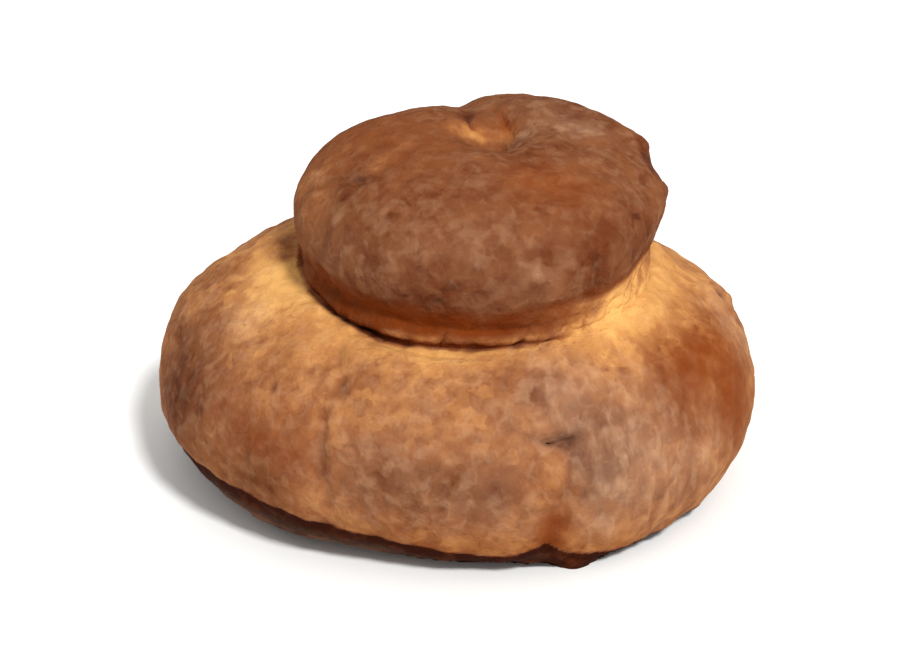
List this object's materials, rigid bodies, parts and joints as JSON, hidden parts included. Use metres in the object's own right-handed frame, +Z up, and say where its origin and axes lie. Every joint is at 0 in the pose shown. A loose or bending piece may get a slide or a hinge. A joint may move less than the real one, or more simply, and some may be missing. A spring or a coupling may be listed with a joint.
{
  "type": "cottage loaf",
  "caption": "Cottage loaf of white bread: a large round with a smaller round pressed on top, dimpled in the middle, with a browned floury crust and a torn golden seam at the neck.",
  "frame": {"origin": "middle of the loaf's outline, on the surface that it stands on", "axes": "+Z up, -Y towards the front that the picture shows, +X to the right of that front"},
  "size_m": [0.201, 0.1756, 0.1197],
  "materials": {
    "crust": "matt baked crust, golden at the neck, brown on the lower round and dark brown on the topknot, dusted with flour"
  },
  "bodies": {
    "root": {"loaf": "crust"}
  },
  "joints": []
}
